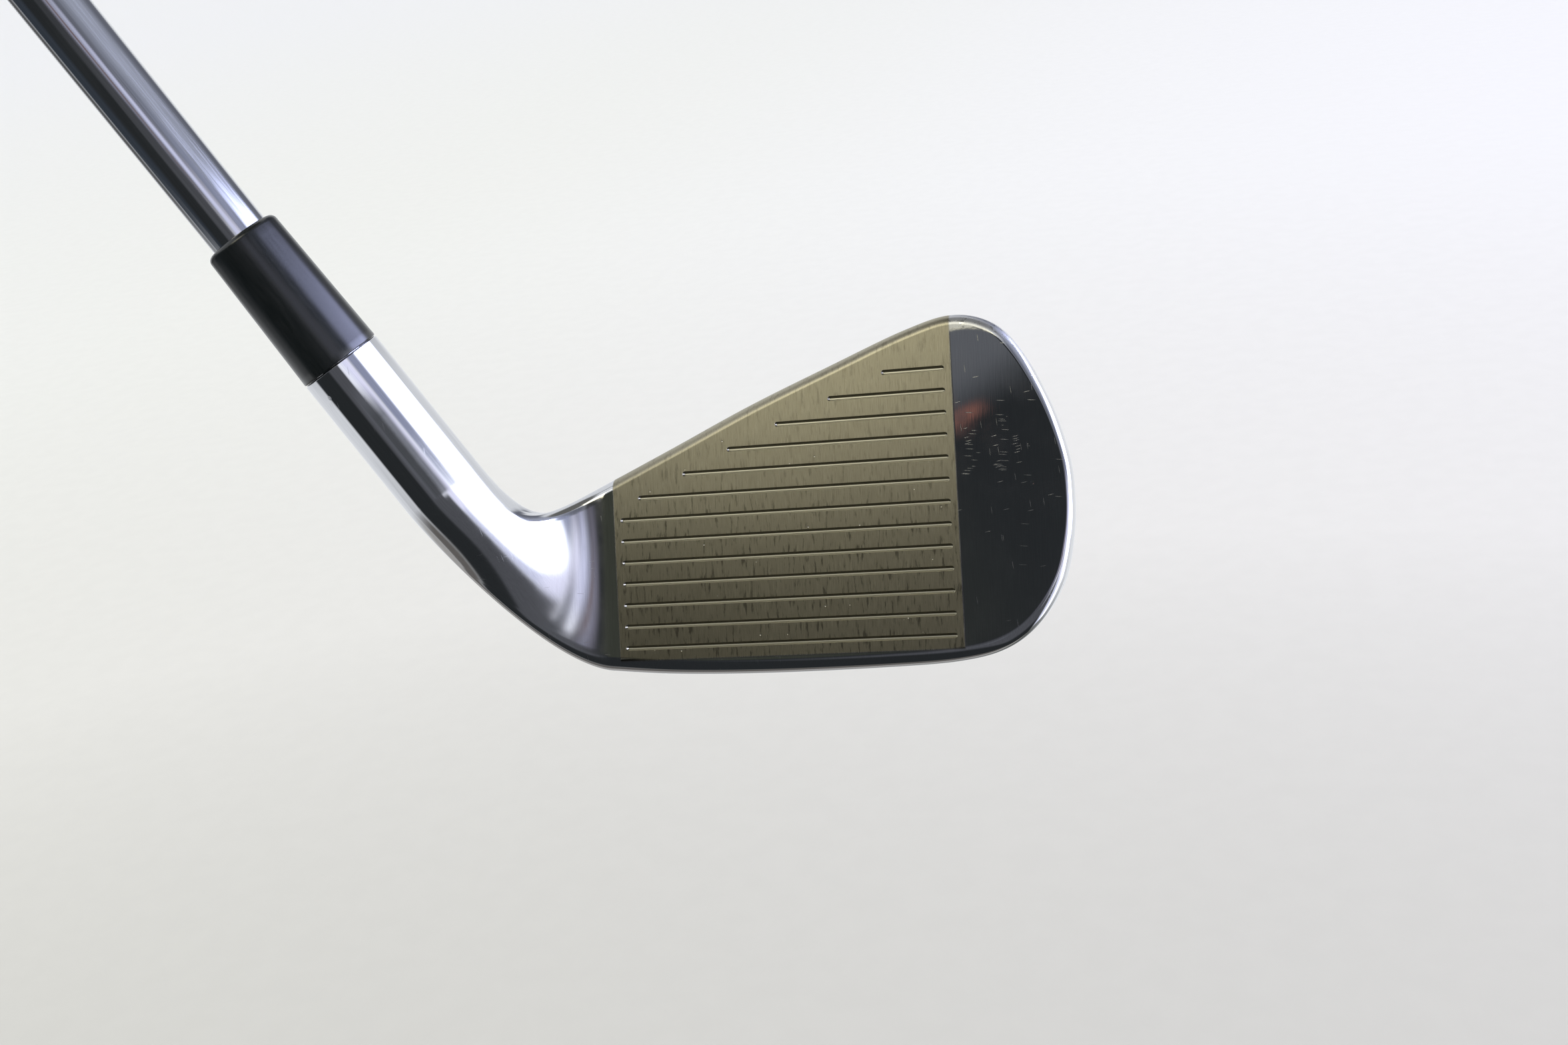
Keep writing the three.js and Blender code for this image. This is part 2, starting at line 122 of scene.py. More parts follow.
TIP_CLEARANCE = 1.5  # below the shaft's tip, to the bottom of the bore
SHAFT_TIP = HOSEL_TOP - BORE_DEPTH + TIP_CLEARANCE
TIP_EDGE = 0.2
TIP_RADIUS = 4.53
TIP_TAPER = 0.0039  # growth of the radius per millimetre
TIP_LENGTH = 180
STEP_COUNT = 12
STEP_PITCH = 36
STEP_RAMP = 1.2
BUTT_RADIUS = 7.62
TIP_WALL = 0.7
BUTT_WALL = 0.38
FACE_GAP = 0.05  # between pieces that meet end to end
GLUE_GAP = 0.1  # between pieces that sit one inside the other

FERRULE_LENGTH = 24.2
FERRULE_BOTTOM = HOSEL_TOP + FACE_GAP
FERRULE_TOP = FERRULE_BOTTOM + FERRULE_LENGTH
FERRULE_BOTTOM_RADIUS = 6.8
FERRULE_TOP_RADIUS = 6.2
FERRULE_RIM = 1
FERRULE_EDGE = 0.25

GRIP_LENGTH = 267
GRIP_SWELL = 2.6  # growth of the radius over the grip's length, apart from the flare
FLARE_LENGTH = 53
BUTT_STEP = 0.1  # how far the grip stays inside the cap's rim
MOUTH_RADIUS = 9.2
MOUTH_CHAMFER = 0.8
GRIP_PATTERN_PITCH = 4.4
GRIP_PATTERN_AROUND = 18
GRIP_PATTERN_DEPTH = 0.35
GRIP_GROOVE_EDGE = (0.9, 0.99)  # cosines between which a groove's wall falls
GRIP_COLLAR_PITCH = 63  # between the plain collars
GRIP_COLLAR_EDGE = (0.97, 0.985)  # cosines between which a collar sets in
GRIP_PLAIN_MOUTH = (14, 15)  # how far from each end the pattern sets in
GRIP_PLAIN_BUTT = (15, 16)
CAP_THICKNESS = 3.2
CAP_RADIUS = 14.4
CAP_ROUNDING = 1.2
CAP_EDGE = 0.3
CAP_RIM = 3
CAP_DISH = 0.5
CAP_BEVEL = 0.4
VENT_RADIUS = 1.5
TAPE_THICKNESS = 0.25
BAND_START = 652
BAND_LENGTH = 34
BAND_END = BAND_START + BAND_LENGTH
BAND_THICKNESS = 0.15
BAND_EDGE = 0.05
SHAFT_END = CLUB_LENGTH - CAP_THICKNESS - FACE_GAP
GRIP_MOUTH = CLUB_LENGTH - GRIP_LENGTH

# How finely each piece is divided.
ARC_STEPS = 8
SIDE_STEPS = 10
BACK_STEPS = 72
FACE_STEPS = 30
HOSEL_STEPS = 8
NECK_STEPS = 44
BLADE_STEPS = 150
TOE_STEPS = 90
RIM_STEPS = 2 * ARC_STEPS + SIDE_STEPS
TIP_RINGS = 30
TIP_RINGS_START = SHAFT_TIP + 4
TIP_RINGS_END = HOSEL_TOP + 100  # the straight taper has none from here to its first step
RAMP_RINGS = 6
FERRULE_RINGS = 12
GRIP_RINGS = 330
GRIP_SIDES = 144
SEARCH_PASSES = 40
FLATNESS = 0.0005  # how far from the face's plane a point may lie and still be on it


# ---- Small helpers ----

def lerp(start, end, share):
    return start + (end - start) * share


def ramp(value, start, end):
    """0 before start, 1 after end, and smooth between them."""
    share = np.clip((value - start) / (end - start), 0, 1)
    return share * share * (3 - 2 * share)


def new_object(name, points, faces, matrix, material, slot):
    """A smooth-shaded piece, from points in millimetres in the frame that matrix places."""
    mesh = bpy.data.meshes.new(name)
    mesh.from_pydata((np.asarray(points) * MM).tolist(), [], faces)
    mesh.transform(matrix)
    mesh.materials.append(material)
    mesh.shade_smooth()
    made = bpy.data.objects.new(name, mesh)
    bpy.context.scene.collection.objects.link(made)
    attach(made, "root")
    return made


def strip_faces(rows, count, first=0):
    """Quads between successive closed rows of this many points each."""
    faces = []
    for row in range(rows - 1):
        for column in range(count):
            here = first + row * count + column
            beside = first + row * count + (column + 1) % count
            faces.append((here, here + count, beside + count, beside))
    return faces


def skin(loops):
    """Points and faces of one skin over loops of the same count, with a face across the first loop."""
    count = len(loops[0])
    return np.concatenate(loops), [tuple(range(count)), *strip_faces(len(loops), count)]


def apply_modifiers(made):
    graph = bpy.context.evaluated_depsgraph_get()
    mesh = bpy.data.meshes.new_from_object(made.evaluated_get(graph))
    made.modifiers.clear()
    made.data = mesh


def weld(made, distance):
    """Joins the points that lie within this distance of each other, in millimetres."""
    modifier = made.modifiers.new("weld", "WELD")
    modifier.merge_threshold = distance * MM
    apply_modifiers(made)


# ---- Head ----

HEAD_MATRIX = Matrix.Translation(STRIKE_POINT) @ Matrix.Rotation(math.pi / 2 - LOFT, 4, "X")


def outline_at(place):
    """The point and the tangent of the Catmull-Rom spline through the outline's points."""
    span = min(int(place), OUTLINE_SPANS - 1)
    share = place - span
    picked = [FACE_OUTLINE[min(max(span + step, 0), OUTLINE_SPANS)] for step in (-1, 0, 1, 2)]
    before, start, end, after = picked
    leave = (end - before) / 2
    arrive = (after - start) / 2
    cubic = 2 * (start - end) + leave + arrive
    square = 3 * (end - start) - 2 * leave - arrive
    point = cubic * share**3 + square * share**2 + leave * share + start
    tangent = 3 * cubic * share**2 + 2 * square * share + leave
    return point, tangent / np.linalg.norm(tangent)


def place_at_x(x, start, end):
    """The place on the outline, between a heel end and the toe's tip, where it reaches x."""
    near, far = start, end
    for _ in range(SEARCH_PASSES):
        middle = (near + far) / 2
        if outline_at(middle)[0][0] < x:
            near = middle
        else:
            far = middle
    return (near + far) / 2


def rim_at(place):
    """The rim's section at this place on the outline."""
    toe_share = ramp(TOE_BEND - abs(place - TOE_TIP), 0, TOE_BEND)
    if place <= TOE_TIP:
        return lerp(TOPLINE_RIM, TOE_RIM, toe_share)
    heel_share = ramp(place, OUTLINE_SPANS - 3, OUTLINE_SPANS)
    return lerp(lerp(SOLE_RIM, HEEL_SOLE_RIM, heel_share), TOE_RIM, toe_share)


def rim_section(rim, back_slope):
    """(distance in from the outline, height above the face) from the flat face's edge to the back."""
    edge, depth, draft, bulge, back = rim
    angles = math.pi / 2 + np.linspace(0, 1, ARC_STEPS + 1) * (math.pi / 2 + draft)
    points = [(edge + edge * math.cos(a), -edge + edge * math.sin(a)) for a in angles]
    start = points[-1]
    length = (depth + start[1]) / math.cos(draft)
    turn = math.pi / 2 - draft + back_slope
    trim = back * math.tan(turn / 2)
    side = (math.sin(draft), -math.cos(draft))
    for step in range(1, SIDE_STEPS + 1):
        share = step / SIDE_STEPS
        proud = 4 * bulge * share * (1 - share)
        along = (length - trim) * share
        distance = start[0] + along * side[0] + proud * side[1]
        height = start[1] + along * side[1] - proud * side[0]
        points.append((distance, height))
    arc_start = points[-1]
    centre = (arc_start[0] - back * side[1], arc_start[1] + back * side[0])
    for step in range(1, ARC_STEPS + 1):
        angle = math.pi + draft + step / ARC_STEPS * turn
        points.append((centre[0] + back * math.cos(angle), centre[1] + back * math.sin(angle)))
    return points


def rim_points(place, back_slope):
    """The rim's section as points in the head's frame."""
    point, tangent = outline_at(place)
    inward = (tangent[1], -tangent[0])
    return [
        np.array((point[0] + distance * inward[0], point[1] + distance * inward[1], z))
        for distance, z in rim_section(rim_at(place), back_slope)
    ]


def cavity_share(x, share):
    """How far the back is hollowed: 1 on the cavity's floor and 0 outside it."""
    lengthways = ramp(x, CAVITY_HEEL, CAVITY_HEEL + CAVITY_WALL) * ramp(CAVITY_TOE - x, 0, CAVITY_WALL)
    return lengthways * ramp(share, *CAVITY_TOP) * (1 - ramp(share, *CAVITY_BOTTOM))


def blade_loop(x):
    """One closed loop round the blade: topline rim, back, sole rim and face."""
    top_place = place_at_x(x, 0, TOE_TIP)
    sole_place = place_at_x(x, OUTLINE_SPANS, TOE_TIP)
    height = outline_at(top_place)[0][1] - outline_at(sole_place)[0][1]
    rise = rim_at(sole_place)[1] - rim_at(top_place)[1]
    top = rim_points(top_place, 0)
    sole = rim_points(sole_place, math.atan2(MUSCLE_POWER * rise, height + SLOPE_SOFTENING))
    back = []
    for step in range(1, BACK_STEPS):
        share = step / BACK_STEPS
        point = lerp(top[-1], sole[-1], share)
        solid = lerp(top[-1][2], sole[-1][2], share**MUSCLE_POWER)
        point[2] = lerp(solid, -CAVITY_FLOOR, cavity_share(x, share))
        back.append(point)
    face = [lerp(sole[0], top[0], step / FACE_STEPS) for step in range(1, FACE_STEPS)]
    return np.array([*top, *back, *sole[::-1], *face])


# The shaft's axis and the two directions across it, in the head's frame.
TO_HEAD = HEAD_MATRIX.inverted()
AXIS_FOOT = np.array(TO_HEAD @ (HOLD_POINT - SHAFT_DIRECTION * HOLD_ALONG * MM)) / MM
AXIS_UP = np.array(TO_HEAD.to_3x3() @ SHAFT_DIRECTION)
TO_FRONT = np.array(TO_HEAD.to_3x3() @ Vector((0, -1, 0)))
TO_CROTCH = np.cross(AXIS_UP, TO_FRONT)


def hosel_ring(along, radius):
    """A ring round the shaft's axis whose points pair with those of a blade loop."""
    counts = (RIM_STEPS + 1, BACK_STEPS - 1, RIM_STEPS + 1, FACE_STEPS - 1)
    stretches = [
        np.linspace(start, end, count, endpoint=False)
        for start, end, count in zip(HOSEL_CORNERS, HOSEL_CORNERS[1:], counts)
    ]
    angles = np.radians(np.concatenate(stretches))
    across = np.cos(angles)[:, None] * TO_CROTCH + np.sin(angles)[:, None] * TO_FRONT
    return AXIS_FOOT + along * AXIS_UP + radius * across


def neck_loops(foot, heel, beyond_heel):
    """Loops that carry the hosel's foot smoothly into the heel end of the blade."""
    centre = AXIS_FOOT + HOSEL_FOOT * AXIS_UP
    crotch_side = (1 + (foot - centre) @ TO_CROTCH / HOSEL_FOOT_RADIUS) / 2
    reach = lerp(HEEL_REACH, CROTCH_REACH, crotch_side) * np.linalg.norm(heel - foot, axis=1)
    front_side = np.clip((foot - centre) @ TO_FRONT / HOSEL_FOOT_RADIUS, 0, 1)
    heel_reach = reach * (1 - FRONT_TIGHTENING * front_side)
    outwards = heel - beyond_heel
    outwards /= np.linalg.norm(outwards, axis=1)[:, None]
    foot_handle = foot - reach[:, None] * AXIS_UP
    heel_handle = heel + heel_reach[:, None] * outwards
    loops = []
    for step in range(1, NECK_STEPS):
        t = step / NECK_STEPS
        loops.append((1 - t)**3 * foot + 3 * (1 - t)**2 * t * foot_handle
                     + 3 * (1 - t) * t**2 * heel_handle + t**3 * heel)
    return loops


def head_loops():
    """Every loop of the head's skin, from the bottom of the bore to the toe's tip."""
    chamfer_top = HOSEL_TOP - HOSEL_CHAMFER
    hosel = [
        hosel_ring(HOSEL_TOP - BORE_DEPTH, BORE_RADIUS),
        hosel_ring(chamfer_top, BORE_RADIUS),
        hosel_ring(HOSEL_TOP, BORE_RADIUS + HOSEL_CHAMFER),
        hosel_ring(HOSEL_TOP, HOSEL_RADIUS - HOSEL_CHAMFER),
        hosel_ring(chamfer_top, HOSEL_RADIUS),
    ]
    for step in range(1, HOSEL_STEPS + 1):
        share = step / HOSEL_STEPS
        along = lerp(chamfer_top, HOSEL_FOOT, share)
        hosel.append(hosel_ring(along, lerp(HOSEL_RADIUS, HOSEL_FOOT_RADIUS, share)))
    tip = FACE_OUTLINE[TOE_TIP][0]
    stations = [lerp(BLADE_START, TOE_START, step / BLADE_STEPS) for step in range(BLADE_STEPS)]
    for step in range(TOE_STEPS + 1):
        stations.append(lerp(TOE_START, tip, math.sin(step / TOE_STEPS * math.pi / 2)))
    blade = [blade_loop(x) for x in stations]
    return [*hosel, *neck_loops(hosel[-1], blade[0], blade[1]), *blade]


def groove_start(y):
    """The heel end of the score line at this height, which stays clear of the topline."""
    start = -GROOVE_HALF_LENGTH
    while outline_at(place_at_x(start, 0, TOE_TIP))[0][1] < y + GROOVE_BELOW_TOPLINE:
        start += GROOVE_END_STEP
    return start


def groove_cutter():
    """All the score lines as one solid: slots with sloping walls and round ends."""
    points, faces = [], []
    count = 2 * GROOVE_END_SIDES
    for number in range(GROOVE_COUNT):
        y = (number - GROOVES_BELOW_STRIKE_POINT + 0.5) * GROOVE_PITCH
        heel_end = (groove_start(y) + GROOVE_WIDTH / 2, math.pi / 2)
        toe_end = (GROOVE_HALF_LENGTH - GROOVE_WIDTH / 2, -math.pi / 2)
        first = len(points)
        for radius, z in GROOVE_SECTION:
            for centre, turn in (heel_end, toe_end):
                for angle in turn + np.linspace(0, math.pi, GROOVE_END_SIDES):
                    points.append((centre + radius * math.cos(angle), y + radius * math.sin(angle), z))
        last = len(points) - count
        faces += strip_faces(len(GROOVE_SECTION), count, first)
        faces.append(tuple(range(first + count - 1, first - 1, -1)))
        faces.append(tuple(range(last, last + count)))
    return points, faces


def join_flat_face(mesh):
    """Makes the flat of the face one polygon, so that the score lines are cut out of it cleanly."""
    out_of_face = HEAD_MATRIX.to_3x3() @ Vector((0, 0, 1))
    shape = bmesh.new()
    shape.from_mesh(mesh)
    flat = [
        face for face in shape.faces
        if all(abs((corner.co - STRIKE_POINT) @ out_of_face) < FLATNESS * MM for corner in face.verts)
    ]
    bmesh.ops.dissolve_faces(shape, faces=flat)
    shape.to_mesh(mesh)
    shape.free()


def make_head(material):
    """The head's skin with the score lines cut into its face."""
    head = new_object("club_head_fine", *skin(head_loops()), HEAD_MATRIX, material, "head_chrome")
    weld(head, 0.002)
    join_flat_face(head.data)
    cutter = new_object("groove_cutter", *groove_cutter(), HEAD_MATRIX, material, "head_chrome")
    cut = head.modifiers.new("score_lines", "BOOLEAN")
    cut.operation = "DIFFERENCE"
    cut.solver = "EXACT"
    cut.object = cutter
    apply_modifiers(head)
    bpy.data.objects.remove(cutter)
    head.data.set_sharp_from_angle(angle=math.radians(35))
    weighted = head.modifiers.new("weighted_normals", "WEIGHTED_NORMAL")
    weighted.keep_sharp = True
    apply_modifiers(head)
    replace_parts(head, "club_head")


# ---- Pieces turned on the shaft's axis ----

LINE_MATRIX = (
    Matrix.Translation(HOLD_POINT - SHAFT_DIRECTION * HOLD_ALONG * MM)
    @ Matrix.Rotation(math.atan2(SHAFT_DIRECTION.x, SHAFT_DIRECTION.z), 4, "Y")
)


def turned(name, profile, material, slot, sides=96, sharp=35):
    """A ring-shaped piece from (radius, distance along the axis) pairs, which close on themselves.

    A radius may also be an array with a radius for each side.
    """
    angles = np.linspace(0, 2 * math.pi, sides, endpoint=False)
    rings = [
        np.column_stack([radius * np.cos(angles), -radius * np.sin(angles), np.full(sides, along)])
        for radius, along in [*profile, profile[0]]
    ]
    points, faces = skin(rings)
    made = new_object(name, points, faces[1:], LINE_MATRIX, material, slot)
    weld(made, 0.001)
    made.data.set_sharp_from_angle(angle=math.radians(sharp))
    return made


def arc(radius_at, along_at, size, start, end, steps):
    """Profile points on an arc of this radius, from a start angle to an end angle in degrees."""
    angles = np.radians(np.linspace(start, end, steps + 1))
    return [(radius_at + size * math.cos(a), along_at + size * math.sin(a)) for a in angles]


def shaft_radius(along):
    """The tapered tip, then steps up to the butt, each with a short smooth ramp."""
    from_tip = along - SHAFT_TIP
    stepped_from = TIP_RADIUS + TIP_TAPER * TIP_LENGTH
    if from_tip < TIP_LENGTH - STEP_RAMP:
        return TIP_RADIUS + TIP_TAPER * from_tip
    past = from_tip - TIP_LENGTH + STEP_RAMP
    whole = min(int(past // STEP_PITCH), STEP_COUNT - 1)
    steps = whole + ramp(past - whole * STEP_PITCH, 0, STEP_RAMP)
    return lerp(stepped_from, BUTT_RADIUS, steps / STEP_COUNT)


def make_shaft(material):
    """A tapered, stepped tube."""
    rings = [*np.linspace(TIP_RINGS_START, TIP_RINGS_END, TIP_RINGS)]
    for step in range(STEP_COUNT):
        ramp_end = SHAFT_TIP + TIP_LENGTH + step * STEP_PITCH
        rings += [*np.linspace(ramp_end - STEP_RAMP, ramp_end, RAMP_RINGS)]
    outside = [(TIP_RADIUS - TIP_EDGE, SHAFT_TIP), (TIP_RADIUS, SHAFT_TIP + TIP_EDGE)]
    outside += [(shaft_radius(along), along) for along in rings]
    outside.append((BUTT_RADIUS, SHAFT_END))
    inside = [
        (BUTT_RADIUS - BUTT_WALL, SHAFT_END),
        (BUTT_RADIUS - BUTT_WALL, SHAFT_TIP + TIP_LENGTH + STEP_COUNT * STEP_PITCH),
        (TIP_RADIUS - TIP_WALL, SHAFT_TIP),
    ]
    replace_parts(turned("shaft_fine", [*outside, *inside], material, "shaft_chrome"), "shaft")


def make_ferrule(material):
    """A tapered sleeve, cut square against the hosel and rounded towards the shaft."""
    shoulder = FERRULE_TOP - FERRULE_RIM
    profile = [(shaft_radius(FERRULE_BOTTOM) + GLUE_GAP, FERRULE_BOTTOM)]
    profile += arc(
        FERRULE_BOTTOM_RADIUS - FERRULE_EDGE, FERRULE_BOTTOM + FERRULE_EDGE, FERRULE_EDGE, -90, 0, 4)
    for share in np.linspace(0.06, 0.94, FERRULE_RINGS):
        radius = lerp(FERRULE_BOTTOM_RADIUS, FERRULE_TOP_RADIUS, share)
        profile.append((radius, lerp(FERRULE_BOTTOM, shoulder, share)))
    profile += arc(FERRULE_TOP_RADIUS - FERRULE_RIM, shoulder, FERRULE_RIM, 0, 90, 10)
    profile.append((shaft_radius(FERRULE_TOP) + GLUE_GAP, FERRULE_TOP))
    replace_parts(turned("ferrule_fine", profile, material, "ferrule_plastic"), "ferrule")


def make_band(material):
    """A thin film round the shaft's butt section."""
    inner = BUTT_RADIUS + GLUE_GAP / 2
    outer = inner + BAND_THICKNESS
    profile = [
        (inner, BAND_START), (outer - BAND_EDGE, BAND_START), (outer, BAND_START + BAND_EDGE),
        (outer, BAND_END - BAND_EDGE), (outer - BAND_EDGE, BAND_END), (inner, BAND_END),
    ]
    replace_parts(turned("shaft_band_fine", profile, material, "band_film"), "shaft_band")


def grip_radius(along):
    """The grip swells evenly from its mouth, and flares at the butt."""
    swell = GRIP_SWELL * (along - GRIP_MOUTH) / GRIP_LENGTH
    flare = max(0, 1 - (SHAFT_END - along) / FLARE_LENGTH)
    return MOUTH_RADIUS + swell + (CAP_RADIUS - BUTT_STEP - MOUTH_RADIUS - GRIP_SWELL) * flare**3


def grip_pattern(along, angles):
    """The depth of the moulded diamonds: crossing grooves, with plain collars between them."""
    rise = (along - GRIP_MOUTH) / GRIP_PATTERN_PITCH * 2 * math.pi
    turn = angles * GRIP_PATTERN_AROUND
    crossing = np.maximum(np.abs(np.cos((rise + turn) / 2)), np.abs(np.cos((rise - turn) / 2)))
    grooves = ramp(crossing, *GRIP_GROOVE_EDGE)
    fade = ramp(along - GRIP_MOUTH, *GRIP_PLAIN_MOUTH) * ramp(SHAFT_END - along, *GRIP_PLAIN_BUTT)
    collar = ramp(math.cos((along - GRIP_MOUTH) / GRIP_COLLAR_PITCH * 2 * math.pi), *GRIP_COLLAR_EDGE)
    return GRIP_PATTERN_DEPTH * grooves * fade * (1 - collar)


def make_grip_sleeve(material):
    """A flared sleeve with moulded diamonds."""
    inner = BUTT_RADIUS + 2 * GLUE_GAP + TAPE_THICKNESS
    angles = np.linspace(0, 2 * math.pi, GRIP_SIDES, endpoint=False)
    profile = [(inner, GRIP_MOUTH)]
    profile += arc(MOUTH_RADIUS - MOUTH_CHAMFER, GRIP_MOUTH + MOUTH_CHAMFER, MOUTH_CHAMFER, -90, -10, 6)
    for along in np.linspace(GRIP_MOUTH + MOUTH_CHAMFER, SHAFT_END, GRIP_RINGS):
        profile.append((grip_radius(along) - grip_pattern(along, angles), along))
    profile.append((inner, SHAFT_END))
    made = turned("grip_sleeve_fine", profile, material, "grip_rubber", GRIP_SIDES, 50)
    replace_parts(made, "grip_sleeve")


def make_grip_cap(material):
    """A disc with a rounded rim, a dished top and a vent hole."""
    bottom = CLUB_LENGTH - CAP_THICKNESS
    dish_radius = CAP_RADIUS - CAP_RIM
    dish = CLUB_LENGTH - CAP_DISH
    profile = [
        (VENT_RADIUS, bottom), (CAP_RADIUS - CAP_EDGE, bottom), (CAP_RADIUS, bottom + CAP_EDGE),
        *arc(CAP_RADIUS - CAP_ROUNDING, CLUB_LENGTH - CAP_ROUNDING, CAP_ROUNDING, 0, 90, 10),
        (dish_radius, CLUB_LENGTH), (dish_radius - CAP_BEVEL, dish),
        (VENT_RADIUS + CAP_BEVEL, dish), (VENT_RADIUS, dish - CAP_BEVEL),
    ]
    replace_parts(turned("grip_cap_fine", profile, material, "cap_rubber"), "grip_cap")


# ---- Camera ----

CAMERA_AZIMUTH = math.radians(15.29)
CAMERA_ELEVATION = math.radians(22.15)
CAMERA_ROLL = math.radians(-9.18)
CAMERA_DISTANCE = 0.278
CAMERA_AIM = Vector((0.0003, 0.0014, 0.0031))
CAMERA_LENS = 39.78


def make_camera():
    """A camera at the photograph's angle."""
    data = bpy.data.cameras.new("camera")
    data.lens = CAMERA_LENS
    data.sensor_width = 36
    data.clip_start = 0.01
    camera = bpy.data.objects.new("camera", data)
    bpy.context.scene.collection.objects.link(camera)
    bpy.context.scene.camera = camera
    back = Vector((
        math.sin(CAMERA_AZIMUTH) * math.cos(CAMERA_ELEVATION),
        -math.cos(CAMERA_AZIMUTH) * math.cos(CAMERA_ELEVATION),
        math.sin(CAMERA_ELEVATION),
    ))
    place = Matrix.Translation(CAMERA_AIM + back * CAMERA_DISTANCE)
    turn = (-back).to_track_quat("-Z", "Y").to_matrix().to_4x4()
    camera.matrix_world = place @ turn @ Matrix.Rotation(CAMERA_ROLL, 4, "Z")


# ---- Node graphs ----

class Graph:
    """Adds nodes to one node tree. A value may be a number, a colour or another node's socket."""

    def __init__(self, tree):
        self.tree = tree

    def put(self, socket, value):
        if isinstance(value, bpy.types.NodeSocket):
            self.tree.links.new(value, socket)
        else:
            socket.default_value = value

    def node(self, kind, inputs=(), **settings):
        made = self.tree.nodes.new("ShaderNode" + kind)
        for name, value in settings.items():
            setattr(made, name, value)
        for key, value in dict(inputs).items():
            self.put(made.inputs[key], value)
        return made

    def math(self, operation, *values):
        return self.node("Math", enumerate(values), operation=operation).outputs[0]

    def add(self, first, second):
        return self.math("ADD", first, second)

    def times(self, first, *others):
        for other in others:
            first = self.math("MULTIPLY", first, other)
        return first

    def step(self, value, low, high, start=0.0, end=1.0):
        """start below low, end above high, and smooth between them."""
        inputs = {"Value": value, "From Min": low, "From Max": high, "To Min": start, "To Max": end}
        return self.node("MapRange", inputs, interpolation_type="SMOOTHSTEP").outputs[0]

    def mix(self, share, first, second):
        return self.node("Mix", {0: share, 6: first, 7: second}, data_type="RGBA").outputs[2]

    def blend(self, share, first, second):
        return self.node("Mix", {0: share, 2: first, 3: second}, data_type="FLOAT").outputs[0]

    def local(self, matrix):
        """The coordinates of the frame that matrix places, in millimetres."""
        source = self.node("TexCoord").outputs["Object"]
        inputs = {"Vector": source, "Location": matrix.to_translation(), "Rotation": matrix.to_euler(),
                  "Scale": (MM, MM, MM)}
        return self.node("Mapping", inputs, vector_type="TEXTURE").outputs[0]

    def stretch(self, vector, *scale):
        return self.node("VectorMath", {0: vector, 1: scale}, operation="MULTIPLY").outputs[0]

    def noise(self, vector, scale, detail=2.0, roughness=0.5):
        inputs = {"Vector": vector, "Scale": scale, "Detail": detail, "Roughness": roughness}
        return self.node("TexNoise", inputs).outputs["Fac"]

    def axes(self, vector):
        return self.node("SeparateXYZ", {0: vector}).outputs

    def ramp(self, value, stops):
        """A colour ramp from (position, colour) pairs."""
        made = self.node("ValToRGB", {0: value})
        made.color_ramp.elements.remove(made.color_ramp.elements[1])
        for index, (position, colour) in enumerate(stops):
            if index == 0:
                element = made.color_ramp.elements[0]
                element.position = position
            else:
                element = made.color_ramp.elements.new(position)
            element.color = (*colour, 1)
        return made.outputs[0]

    def bump(self, height, distance):
        """The surface's direction when this height is worth this distance in millimetres."""
        return self.node("Bump", {"Height": height, "Distance": distance * MM}).outputs[0]

    def distance(self, vector, point):
        return self.node("VectorMath", {0: vector, 1: point}, operation="DISTANCE").outputs["Value"]


def new_material(name, **values):
    """A Principled material with plain values on its own sockets, its graph and its shader."""
    material = bpy.data.materials.new(name)
    material.use_nodes = True
    shader = material.node_tree.nodes["Principled BSDF"]
    for key, value in values.items():
        shader.inputs[key.replace("_", " ")].default_value = value
    return material, Graph(material.node_tree), shader


# ---- Materials ----

SATIN_HEEL = -28.5
SATIN_TOE = 28.5
SATIN_BOTTOM = -17.9
SATIN_BACK = (-3.2, -2.6)  # behind the face, where it ends on the rims
SATIN_DARK = (0.35, 0.322, 0.243)
SATIN_LIGHT = (0.485, 0.452, 0.347)
SATIN_PAINTED_SHADE = (0.07, 0.065, 0.048, 1)  # painted shade, laid on more towards the bottom and the heel of the face
# dark worn patches at random, laid on more deeply where the painted shade is
SATIN_WEAR_AND_SHADE = (0.07, 0.065, 0.05, 1)
NICK_COLOUR = (0.72, 0.70, 0.62, 1)
# Painted highlight on the score lines' lower walls and painted shade on their upper walls.
GROOVE_PAINTED_HIGHLIGHT = (0.88, 0.85, 0.72, 1)
GROOVE_PAINTED_SHADE = (0.05, 0.048, 0.038, 1)
TOPLINE_SLOPE = 0.396
TOPLINE_AT = 21.3  # height of the topline rim's lower edge above the middle of the face

SCRATCHED_SPOT = (34.5, 13.0, 0.0)
SCRATCHED_REACH = (7.5, 1)  # distances from it over which the scratches come to crowd together
SCRATCH_SPACING = 3  # between scratches, in their own lengths and widths
# Angle across the face, length, width, and the share of places with a scratch in the scratched spot.
SCRATCHES = [(6, 1.6, 0.08, 0.34), (-10, 1.2, 0.08, 0.22), (84, 1.5, 0.07, 0.03)]
SCRATCHES_ELSEWHERE = 0.02
TOE_CORNER = (30.5, 21.5, 0.0)  # the middle of the toe's rounded top corner
TOE_CORNER_EDGE = (10.2, 11.2)  # distances from it over which the scuffs set in
NECK_X = (-58, -46)  # over which the hosel's clear polish turns hazy
FACE_START_X = (-29.5, -31.5)  # over which it turns clear again


def scratches_on(graph, place, angle, length, width, share):
    """1 on short straight scratches at this angle across the face: this share of the places has one."""
    turn = {"Vector": place, "Angle": math.radians(angle)}
    turned_place = graph.node("VectorRotate", turn, rotation_type="Z_AXIS").outputs[0]
    apart = SCRATCH_SPACING
    stretched = graph.stretch(turned_place, 1 / (apart * length), 1 / (apart * width), 1)
    cells = graph.node("TexVoronoi", {"Vector": stretched, "Scale": 1.0}, voronoi_dimensions="2D")
    mark = graph.step(cells.outputs["Distance"], 0.5 / apart, 0.3 / apart)
    draw = graph.node("SeparateColor", {0: cells.outputs["Color"]}).outputs[0]
    return graph.times(mark, graph.math("LESS_THAN", draw, share))


